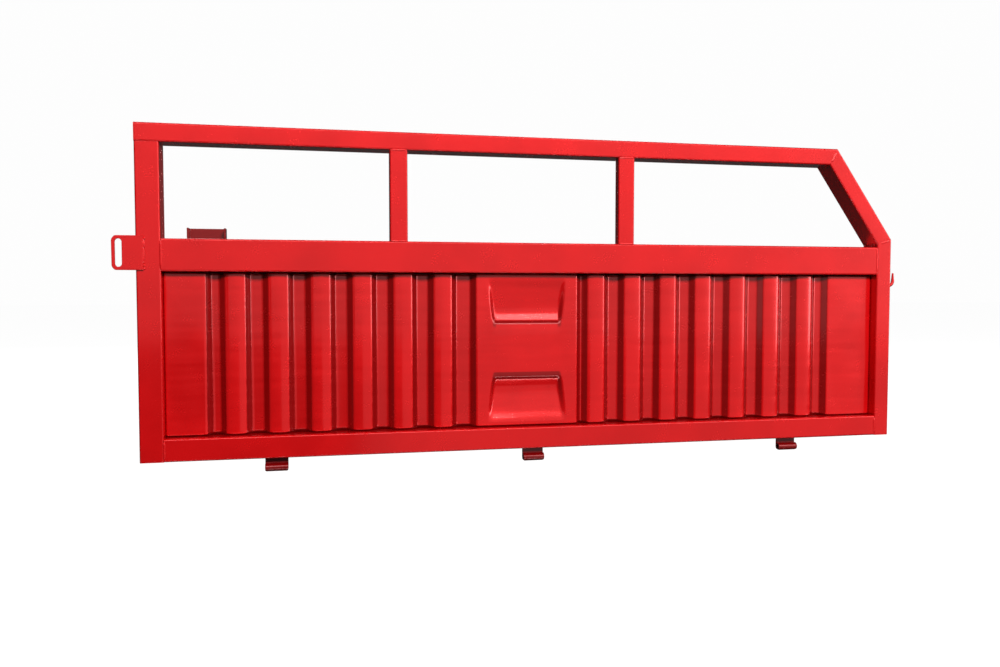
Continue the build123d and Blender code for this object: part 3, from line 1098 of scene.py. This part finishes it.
class GATE_OT_hasp_plate(bpy.types.Operator):
    """Build the slotted hasp plate on the front post"""

    bl_idname = "gate.hasp_plate"
    bl_label = "Hasp plate"

    def execute(self, context):
        fittings = settings("fittings")
        low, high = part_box("hasp_plate")
        corner = fittings.hasp_corner
        right = high.x + corner + HASP_SPARE
        middle = Vector(((low.x + right) / 2, low.y, (low.z + high.z) / 2))
        outline = self.draw_outline(
            "hasp_plate_slotted", middle, corner,
            Vector(((right - low.x) / 2 - corner, 0, (high.z - low.z) / 2 - corner)))
        radius = fittings.slot_width / 2
        slot = self.draw_outline(
            "hasp_slot_outline", Vector((low.x + fittings.slot_rim + radius, low.y, middle.z)),
            radius, Vector((0, 0, fittings.slot_height / 2 - radius)))
        take_up(outline)
        slot.select_set(True)
        bpy.ops.object.join()
        self.bow_edge(outline, low, middle, high)
        shape_it()
        bpy.ops.mesh.select_all(action="SELECT")
        bpy.ops.mesh.bridge_edge_loops()
        bpy.ops.mesh.select_all(action="SELECT")
        bpy.ops.mesh.bisect(plane_co=(high.x, 0, 0), plane_no=RIGHTWARD, use_fill=False,
                            clear_outer=True)
        bpy.ops.mesh.select_all(action="SELECT")
        pull_out((0, high.y - low.y, 0))
        done()
        face_outwards()
        ease_edges(SQUARE_EDGE, spared=BEHIND)
        hand_over(outline, finishes()["fitting"], "fitting_paint", "hasp_plate")
        return {"FINISHED"}

    def draw_outline(self, name, middle, radius, spread):
        """Draw a ring facing forwards and move its four quarters apart."""
        clear_bench()
        bpy.ops.mesh.primitive_circle_add(vertices=RING_STEPS, radius=radius, fill_type="NOTHING",
                                          location=middle, rotation=(pi / 2, 0, 0))
        piece = settle(name)
        take_up(piece)
        shape_it()
        for side_x in (-1, 1):
            for side_z in (-1, 1):
                pick("VERT", lambda v: (v.co.x - middle.x) * side_x > -1e-7 * side_x
                     and (v.co.z - middle.z) * side_z > -1e-7 * side_z)
                bpy.ops.transform.translate(value=(spread.x * side_x, 0, spread.z * side_z))
        done()
        return piece

    def bow_edge(self, piece, low, middle, high):
        """Let the outer edge swell between its corners, within the plate's width."""
        bow = settings("fittings").hasp_bow
        half = (high.z - low.z) / 2
        for vertex in piece.data.vertices:
            share = min(1.0, abs(vertex.co.z - middle.z) / half)
            near = max(0.0, 1 - (vertex.co.x - low.x) / HASP_BOW_REACH)
            vertex.co.x += bow * share * share * near


class GATE_OT_rope_hook(bpy.types.Operator):
    """Build the upturned rope hook on the rear post"""

    bl_idname = "gate.rope_hook"
    bl_label = "Rope hook"

    def execute(self, context):
        fittings = settings("fittings")
        places = Places()
        low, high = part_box("rope_hook")
        radius = fittings.hook_rod / 2
        root = Vector((low.x, places.middle, low.z + radius))
        straight = high.x - low.x - radius - HOOK_BEND
        clear_bench()
        bpy.ops.mesh.primitive_circle_add(vertices=20, radius=radius * HOOK_ROOT_SWELL,
                                          fill_type="NGON", location=root,
                                          rotation=(0, pi / 2, 0))
        piece = settle("rope_hook_rod")
        shape_it()
        bpy.ops.mesh.select_all(action="SELECT")
        for k in range(HOOK_STRAIGHTS):
            pull_out((straight / HOOK_STRAIGHTS, 0, 0))
            self.thin(HOOK_TAPER, root + RIGHTWARD * straight * (k + 1) / HOOK_STRAIGHTS)
        centre = root + RIGHTWARD * straight + UPWARD * HOOK_BEND
        bpy.ops.mesh.spin(steps=10, angle=pi / 2, center=centre, axis=(0, 1, 0))
        upright = high.z - centre.z - 2 * HOOK_TIP_ROUND
        top_middle = centre + RIGHTWARD * HOOK_BEND
        ratio = (fittings.hook_tip / fittings.hook_rod) ** (1 / HOOK_TIP_STEPS)
        for k in range(HOOK_TIP_STEPS):
            pull_out((0, 0, upright / HOOK_TIP_STEPS))
            self.thin(ratio, top_middle + UPWARD * upright * (k + 1) / HOOK_TIP_STEPS)
        tip = top_middle + UPWARD * upright
        for share in HOOK_TIP_SHARES:
            pull_out((0, 0, HOOK_TIP_ROUND))
            self.thin(share, tip)
        done()
        face_outwards()
        hand_over(piece, finishes()["fitting"], "fitting_paint", "rope_hook")
        return {"FINISHED"}

    def thin(self, share, centre):
        """Draw the rod's end in towards its middle."""
        bpy.ops.transform.resize(value=(share, share, share), center_override=centre)


class GATE_OT_rear_bracket(bpy.types.Operator):
    """Build the bent plate bracket behind the mid rail"""

    bl_idname = "gate.rear_bracket"
    bl_label = "Rear bracket"

    def execute(self, context):
        low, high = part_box("rear_bracket")
        arm = high.y - low.y
        middle = Vector((low.x, low.y + arm / 2, (low.z + high.z) / 2))
        piece = lay_plate("rear_bracket_plate", middle, (0, pi / 2, 0), high.z - low.z, arm)
        shape_it()
        pick("EDGE", lambda edge: lies_at(edge, 1, high.y))
        pull_out((high.x - low.x, 0, 0))
        pull_out((0, -arm, 0))
        pick("EDGE", lambda edge: runs_along(edge, UPWARD) and lies_at(edge, 1, high.y))
        bpy.ops.mesh.bevel(offset=BRACKET_BEND, segments=5, affect="EDGES")
        bpy.ops.mesh.select_all(action="SELECT")
        bpy.ops.mesh.normals_make_consistent(inside=False)
        done()
        apply_modifier("SOLIDIFY", thickness=settings("fittings").bracket_plate,
                       offset=self.inward(piece, middle))
        face_outwards()
        ease_edges(SQUARE_EDGE)
        # The bracket takes the darker red copy: painted shade.
        hand_over(piece, finishes()["painted_shade"], "fitting_paint", "rear_bracket")
        return {"FINISHED"}

    def inward(self, piece, middle):
        """Side of the plate to thicken, so that it stays within the bracket's outside."""
        face = min(piece.data.polygons, key=lambda f: (f.center - middle).length)
        return -1.0 if face.normal.x < 0 else 1.0


# ---------------------------------------------------------------------- welds
# Share of a bead's full size at its very start, and of a ripple's hollow to its top.
BEAD_START = 0.35
RIPPLE_HOLLOW = 0.86
# Legs of a corner bead at a plate and at the hasp, its half size as a share of its leg, and how
# far its middle stands off each face.
CORNER_LEG = 0.0036
HASP_LEG = 0.0046
CORNER_HALF = 0.62
CORNER_PROUD = 0.12
# How much shorter each bead is than its seam.
POST_SHORT = 0.001
WINDOW_SHORT = 0.004
MITRE_SHORT = 0.016
HASP_SHORT = 0.014
STRAP_SHORT = 0.008
STITCH_LENGTH = 0.022
# Radii of the spatter in the mitres' corners and of the craters beside the hasp.
MITRE_SPATTER = 0.0024
HASP_CRATERS = (0.0032, 0.0026)
# The bead round the hook's root: how far it stands off, its thickness, and its waves.
ROOT_BEAD_OFF = 0.0009
ROOT_BEAD_RADIUS = 0.0021
ROOT_BEAD_WAVES = 10
ROOT_BEAD_SWELL = 0.10


def bead(start, end, across, outward, width, rise, luck):
    """Add a rippled bead from start to end to the open piece.

    Across and outward are its two directions, width and rise its half sizes along them, and its
    ends are drawn in.
    """
    welds = settings("welds")
    run = end - start
    length = run.length
    steps = max(4, round(length / welds.ripple * 2))
    along = run.normalized()
    bpy.ops.mesh.select_all(action="DESELECT")
    bpy.ops.mesh.primitive_circle_add(vertices=welds.sides, radius=1.0, fill_type="NGON",
                                      location=(0, 0, 0))
    mesh = bpy.context.view_layer.objects.active.data
    shape = bmesh.from_edit_mesh(mesh)
    ring = [v for v in shape.verts if v.select]
    for vertex in ring:
        u, v = vertex.co.x, vertex.co.y
        vertex.co = start + (across * u * width + outward * v * rise) * BEAD_START
    bmesh.update_edit_mesh(mesh)
    size = BEAD_START
    centre = start.copy()
    for k in range(1, steps + 1):
        share = k / steps
        ends = min(1.0, 4.5 * min(share, 1.02 - share) + 0.25)
        ripple = 1.0 if k % 2 else RIPPLE_HOLLOW
        wanted = ends * ripple * luck.uniform(0.93, 1.07)
        move = along * (length / steps)
        sway = across * width * luck.uniform(-0.07, 0.07)
        pull_out(move + sway)
        centre = centre + move + sway
        bpy.ops.transform.resize(value=(wanted / size,) * 3, center_override=centre)
        size = wanted
        bpy.ops.transform.translate(value=-sway)
        centre = centre - sway


def blob(place, radius, luck):
    """Add a small round spatter or crater to the open piece."""
    bpy.ops.mesh.select_all(action="DESELECT")
    bpy.ops.mesh.primitive_ico_sphere_add(subdivisions=2, radius=radius, location=place)
    stretch = (luck.uniform(0.8, 1.2), luck.uniform(0.7, 1.0), luck.uniform(0.8, 1.25))
    bpy.ops.transform.resize(value=stretch, center_override=place)


def open_weld_piece(name):
    """Start an empty weld piece for its beads."""
    clear_bench()
    bpy.ops.mesh.primitive_circle_add(vertices=3, radius=0.001, fill_type="NOTHING")
    piece = settle(name)
    shape_it()
    bpy.ops.mesh.select_all(action="SELECT")
    bpy.ops.mesh.delete(type="VERT")
    return piece


class GATE_OT_weld_beads(bpy.types.Operator):
    """Lay the weld beads at every joint of the gate"""

    bl_idname = "gate.weld_beads"
    bl_label = "Weld beads"

    def execute(self, context):
        places = Places()
        self.luck = random.Random(7)
        self.post_welds(places)
        self.window_welds()
        self.mitre_welds(places)
        self.hasp_weld()
        self.hinge_welds()
        self.stitch_welds()
        self.bracket_welds(places)
        self.hook_weld(places)
        return {"FINISHED"}

    def finish_welds(self, piece, node):
        """Close a weld piece and hand it over."""
        done()
        face_outwards()
        hand_over(piece, finishes()["weld"], "weld_paint", node)

    def flush(self, middle, along, outward, length):
        """Lay a low bead over a flush seam."""
        welds = settings("welds")
        half = along * length / 2
        bead(middle - half, middle + half, along.cross(outward), outward, welds.width / 2,
             welds.rise, self.luck)

    def corner(self, middle, along, first, second, length, leg=CORNER_LEG):
        """Lay a bead in an inside corner between two faces."""
        half = along * length / 2
        proud = (first + second) * leg * CORNER_PROUD
        start = middle - half + proud
        end = middle + half + proud
        outward = (first + second).normalized()
        half_size = leg * CORNER_HALF
        bead(start, end, along.cross(outward), outward, half_size, half_size, self.luck)

    def post_welds(self, places):
        """Weld the mid rail and the bottom rail to the two outer posts."""
        margin = settings("tubes").corner + POST_SHORT
        for node, x in (("left_post_welds", places.left_inner),
                        ("right_post_welds", places.right_inner)):
            piece = open_weld_piece(node + "_beads")
            for low, high in ((places.foot, places.bottom_top),
                              (places.mid_under, places.mid_top)):
                for y, outward in ((places.front, AHEAD), (places.back, BEHIND)):
                    self.flush(Vector((x, y, (low + high) / 2)), UPWARD, outward,
                               high - low - 2 * margin)
            self.finish_welds(piece, node)

    def window_welds(self):
        """Weld the two window posts to the rails over and under them."""
        piece = open_weld_piece("window_post_weld_beads")
        for name in WINDOW_POSTS:
            low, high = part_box(name)
            x = (low.x + high.x) / 2
            length = high.x - low.x - WINDOW_SHORT
            for z, away in ((low.z, UPWARD), (high.z, DOWNWARD)):
                self.flush(Vector((x, low.y, z)), RIGHTWARD, AHEAD, length)
                self.corner(Vector((x, high.y, z)), RIGHTWARD, BEHIND, away, length)
        self.finish_welds(piece, "window_post_welds")

    def mitre_welds(self, places):
        """Weld the slanted post's two mitres, with some spatter in their inner corners."""
        piece = open_weld_piece("mitre_weld_beads")
        for corner, normal, turn in (
                (places.slant_start, upper_mitre(places), places.slant_angle),
                (places.slant_end, lower_mitre(places), pi / 2 - places.slant_angle)):
            inward = Vector((normal.z, 0, -normal.x))
            length = places.slant_width / cos(turn / 2)
            for y, outward in ((places.front, AHEAD), (places.back, BEHIND)):
                middle = Vector((corner.x, y, corner.z)) + inward * length / 2
                self.flush(middle, inward, outward, length - MITRE_SHORT)
            inner = Vector((corner.x, 0, corner.z)) + inward * (length + 0.0012)
            for y in (places.front + 0.012, places.front + 0.020, places.back - 0.012):
                blob(Vector((inner.x, y, inner.z)), MITRE_SPATTER, self.luck)
        self.finish_welds(piece, "mitre_welds")

    def hasp_weld(self):
        """Weld the hasp plate's right edge to the front post, with a few craters."""
        piece = open_weld_piece("hasp_weld_bead")
        low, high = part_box("hasp_plate")
        middle = Vector((high.x, high.y, (low.z + high.z) / 2))
        self.corner(middle, UPWARD, RIGHTWARD, AHEAD, high.z - low.z - HASP_SHORT, HASP_LEG)
        large, small = HASP_CRATERS
        for z, size in ((low.z + 0.010, large), (low.z + 0.004, small), (high.z - 0.006, small)):
            blob(Vector((high.x + 0.001, high.y - 0.0008, z)), size, self.luck)
        self.finish_welds(piece, "hasp_welds")

    def hinge_welds(self):
        """Weld the three straps to the bottom rail, before and behind."""
        piece = open_weld_piece("hinge_weld_beads")
        strap = settings("fittings").strap
        for name in HINGE_EYES:
            low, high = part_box(name)
            x = (low.x + high.x) / 2
            length = high.x - low.x - STRAP_SHORT
            for y, away in ((high.y - strap, AHEAD), (high.y, BEHIND)):
                self.corner(Vector((x, y, high.z)), RIGHTWARD, away, DOWNWARD, length)
        self.finish_welds(piece, "hinge_welds")

    def stitch_welds(self):
        """Stitch the sheet's long flanges to the rails behind every second crest."""
        piece = open_weld_piece("panel_stitch_beads")
        layout = SheetLayout()
        for start, end in layout.crests[::2]:
            x = (start + end) / 2
            for z, away in ((layout.low.z, UPWARD), (layout.high.z, DOWNWARD)):
                self.corner(Vector((x, layout.high.y, z)), RIGHTWARD, BEHIND, away,
                            STITCH_LENGTH)
        self.finish_welds(piece, "panel_stitch_welds")

    def bracket_welds(self, places):
        """Weld the bracket's two arms to the back of the mid rail."""
        piece = open_weld_piece("bracket_weld_beads")
        low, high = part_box("rear_bracket")
        length = places.mid_top - low.z - STRAP_SHORT
        middle_z = low.z + length / 2 + 0.001
        for x, away in ((low.x, LEFTWARD), (high.x, RIGHTWARD)):
            self.corner(Vector((x, low.y, middle_z)), UPWARD, away, BEHIND, length)
        self.finish_welds(piece, "bracket_welds")

    def hook_weld(self, places):
        """Lay a bead round the hook's root."""
        piece = open_weld_piece("hook_weld_bead")
        low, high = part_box("rope_hook")
        radius = settings("fittings").hook_rod / 2
        root = Vector((low.x, places.middle, low.z + radius))
        bpy.ops.mesh.primitive_torus_add(
            location=root + RIGHTWARD * ROOT_BEAD_OFF, rotation=(0, pi / 2, 0),
            major_segments=40, minor_segments=10, major_radius=radius + ROOT_BEAD_OFF,
            minor_radius=ROOT_BEAD_RADIUS)
        mesh = piece.data
        shape = bmesh.from_edit_mesh(mesh)
        for vertex in shape.verts:
            around = atan2(vertex.co.z - root.z, vertex.co.y - root.y)
            wave = ROOT_BEAD_SWELL * cos(ROOT_BEAD_WAVES * around)
            swell = 1 + wave + self.luck.uniform(-0.04, 0.04)
            from_root = vertex.co - root
            vertex.co = root + Vector((from_root.x, from_root.y * swell, from_root.z * swell))
            vertex.co.x = max(vertex.co.x, root.x - 0.0005)
        bmesh.update_edit_mesh(mesh)
        self.finish_welds(piece, "hook_weld")


# ------------------------------------------------------------- paint the caps
class GATE_OT_paint_caps(bpy.types.Operator):
    """Paint the end caps, whose plain plates come straight from the frame"""

    bl_idname = "gate.paint_caps"
    bl_label = "Paint the end caps"

    def execute(self, context):
        for name in ("top_rail_cap", "left_foot_cap", "right_foot_cap"):
            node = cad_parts[name]
            node.data.materials.clear()
            node.data.materials.append(finishes()["frame"])
        return {"FINISHED"}


# ---------------------------------------------------------------------- stage
# Camera's place, and its turns to the right and downwards from a look straight along Y.
CAMERA_PLACE = (-0.5032, -1.9609, 0.3849)
CAMERA_RIGHT = 0.21252
CAMERA_DOWN = 0.04673
LIGHT_AIM = (0, 0, 0.35)
# The light wall: brightness of its columns from left to right, which stand side by side.
WALL_RAMP = (0.34, 0.34, 0.36, 0.38, 0.4, 0.42, 0.46, 0.52, 0.6, 0.7)
WALL_START = -2.3
WALL_COLUMN = 0.85
WALL_HEIGHTS = (0.05, 2.2)
LOW_WALL_HEIGHTS = (-2.4, 0.05)
LOW_WALL_BRIGHTNESS = 0.26
# More upright panels in the light wall: name, middle, lower and upper end, width, brightness.
WALL_EXTRAS = (("low_glow", 0.8, -0.95, -0.5, 1.2, 1.0),
               ("high_panel", 1.5, 2.2, 3.8, 8.4, 3.4))
# Strips seen only in the gloss: name, place, width and height, brightness.
STRIPS = (("left_strip", (-3.4, -2.6, 1.2), (0.35, 2.4), 0.5),
          ("right_strip", (3.9, -2.2, 1.2), (1.1, 2.4), 4.0),
          ("low_strip", (0.2, -2.4, -2.6), (4.5, 0.35), 5.0),
          ("rear_strip", (0.0, 2.6, 3.2), (4.5, 0.8), 5.0))
FLOOR_SIZE = 60
FLOOR_ROUGHNESS = 0.9
FLOOR_GLOW = 0.97
SEEN_WHITE = 0.985
ROOM_WHITE = 0.04


def soft_panel(name, place, size, brightness, aim=LIGHT_AIM, glossy=True, diffuse=True):
    """Hang a soft light panel that faces a point."""
    data = bpy.data.lights.new(name, "AREA")
    data.shape = "RECTANGLE"
    data.size, data.size_y = size
    data.energy = brightness * pi * size[0] * size[1]
    panel = bpy.data.objects.new(name, data)
    panel.location = place
    panel.rotation_euler = (Vector(aim) - Vector(place)).to_track_quat("-Z", "Y").to_euler()
    panel.visible_camera = False
    panel.visible_glossy = glossy
    panel.visible_diffuse = diffuse
    bpy.context.scene.collection.objects.link(panel)


class GATE_OT_stage(bpy.types.Operator):
    """Set up the pale floor, the soft lights and the camera"""

    bl_idname = "gate.stage"
    bl_label = "Stage"

    def execute(self, context):
        self.lay_floor()
        self.hang_lights()
        self.set_camera(context)
        self.set_surroundings(context)
        return {"FINISHED"}

    def lay_floor(self):
        """Lay a pale floor under the gate that throws no light on it."""
        stage = settings("stage")
        clear_bench()
        bpy.ops.mesh.primitive_plane_add(size=FLOOR_SIZE, location=(0, 0, CAD_BOX[0].z))
        floor = settle("studio_floor")
        floor.visible_diffuse = False
        floor.visible_glossy = False
        pale = bpy.data.materials.new("pale_floor")
        pale.use_nodes = True
        shader = pale.node_tree.nodes["Principled BSDF"]
        shader.inputs["Base Color"].default_value = (*(stage.floor_pale,) * 3, 1)
        shader.inputs["Roughness"].default_value = FLOOR_ROUGHNESS
        shader.inputs["Emission Color"].default_value = (1, 1, 1, 1)
        shader.inputs["Emission Strength"].default_value = FLOOR_GLOW
        floor.data.materials.append(pale)

    def hang_lights(self):
        """Hang the light wall, the key light, the strips and a fill from behind."""
        stage = settings("stage")
        front = stage.front_light
        for k, brightness in enumerate(WALL_RAMP):
            x = WALL_START + WALL_COLUMN * k
            self.wall_panel("wall_" + str(k), x, *WALL_HEIGHTS, WALL_COLUMN, front * brightness)
            if x > 0:
                self.wall_panel("low_wall_" + str(k), x, *LOW_WALL_HEIGHTS, WALL_COLUMN,
                                front * LOW_WALL_BRIGHTNESS)
        for name, x, low, high, width, brightness in WALL_EXTRAS:
            self.wall_panel(name, x, low, high, width, front * brightness)
        soft_panel("key", (0.8, -4.6, 2.75), (1.6, 0.9), front * stage.key_light, glossy=False)
        soft_panel("rear_fill", (0.3, 4.2, 1.6), (3.0, 2.0), 18.0, glossy=False)
        for name, place, size, brightness in STRIPS:
            soft_panel(name, place, size, brightness, diffuse=False)

    def wall_panel(self, name, x, low, high, width, brightness):
        """Hang one upright panel of the light wall, seen only in the gloss."""
        place = (x, settings("stage").wall_distance, (low + high) / 2)
        soft_panel(name, place, (width, high - low), brightness, aim=(x, 0, place[2]),
                   diffuse=False)

    def set_camera(self, context):
        """Stand the camera a little left of the gate's middle and below its top."""
        data = bpy.data.cameras.new("camera")
        data.sensor_width = 36
        data.lens = settings("stage").lens
        camera = bpy.data.objects.new("camera", data)
        camera.location = CAMERA_PLACE
        camera.rotation_euler = (pi / 2 - CAMERA_DOWN, 0, -CAMERA_RIGHT)
        context.scene.collection.objects.link(camera)
        context.scene.camera = camera

    def set_surroundings(self, context):
        """White behind the gate for the eye, and a dim room for its paint."""
        world = bpy.data.worlds.new("studio")
        world.use_nodes = True
        nodes = world.node_tree.nodes
        links = world.node_tree.links
        nodes.clear()
        mix = nodes.new("ShaderNodeMixShader")
        for socket, brightness in ((1, ROOM_WHITE), (2, SEEN_WHITE)):
            white = nodes.new("ShaderNodeBackground")
            white.inputs["Color"].default_value = (1, 1, 1, 1)
            white.inputs["Strength"].default_value = brightness
            links.new(white.outputs[0], mix.inputs[socket])
        seen = nodes.new("ShaderNodeLightPath")
        output = nodes.new("ShaderNodeOutputWorld")
        links.new(seen.outputs["Is Camera Ray"], mix.inputs[0])
        links.new(mix.outputs[0], output.inputs["Surface"])
        context.scene.world = world
        context.scene.view_settings.view_transform = "Standard"


# ---------------------------------------------------------------------- panel
BUILD_ORDER = ("frame_tubes", "pressed_sheet", "hinge_eyes", "hasp_plate", "rope_hook",
               "rear_bracket", "weld_beads", "paint_caps", "stage")
SETTING_GROUPS = {"paint": GATE_PG_paint, "tubes": GATE_PG_tubes, "sheet": GATE_PG_sheet,
                  "pockets": GATE_PG_pockets, "fittings": GATE_PG_fittings,
                  "welds": GATE_PG_welds, "stage": GATE_PG_stage}


class GATE_PT_side_gate(bpy.types.Panel):
    """Sizes, colours and build steps of the side gate"""

    bl_idname = "GATE_PT_side_gate"
    bl_label = "Side Gate"
    bl_space_type = "VIEW_3D"
    bl_region_type = "UI"
    bl_category = "Side Gate"

    def draw(self, context):
        for name in SETTING_GROUPS:
            group = settings(name)
            box = self.layout.box()
            box.label(text=name.capitalize())
            for key in group.__annotations__:
                box.prop(group, key)
        for step in BUILD_ORDER:
            self.layout.operator("gate." + step)


CLASSES = (*SETTING_GROUPS.values(), GATE_OT_frame_tubes, GATE_OT_pressed_sheet,
           GATE_OT_hinge_eyes, GATE_OT_hasp_plate, GATE_OT_rope_hook, GATE_OT_rear_bracket,
           GATE_OT_weld_beads, GATE_OT_paint_caps, GATE_OT_stage, GATE_PT_side_gate)


def register():
    for cls in CLASSES:
        bpy.utils.register_class(cls)
    for name, group in SETTING_GROUPS.items():
        setattr(bpy.types.Scene, "gate_" + name, PointerProperty(type=group))


def unregister():
    for name in SETTING_GROUPS:
        delattr(bpy.types.Scene, "gate_" + name)
    for cls in reversed(CLASSES):
        bpy.utils.unregister_class(cls)


def main():
    """Build the whole gate."""
    register()
    for step in BUILD_ORDER:
        getattr(bpy.ops.gate, step)()


if __name__ == "__main__":
    main()
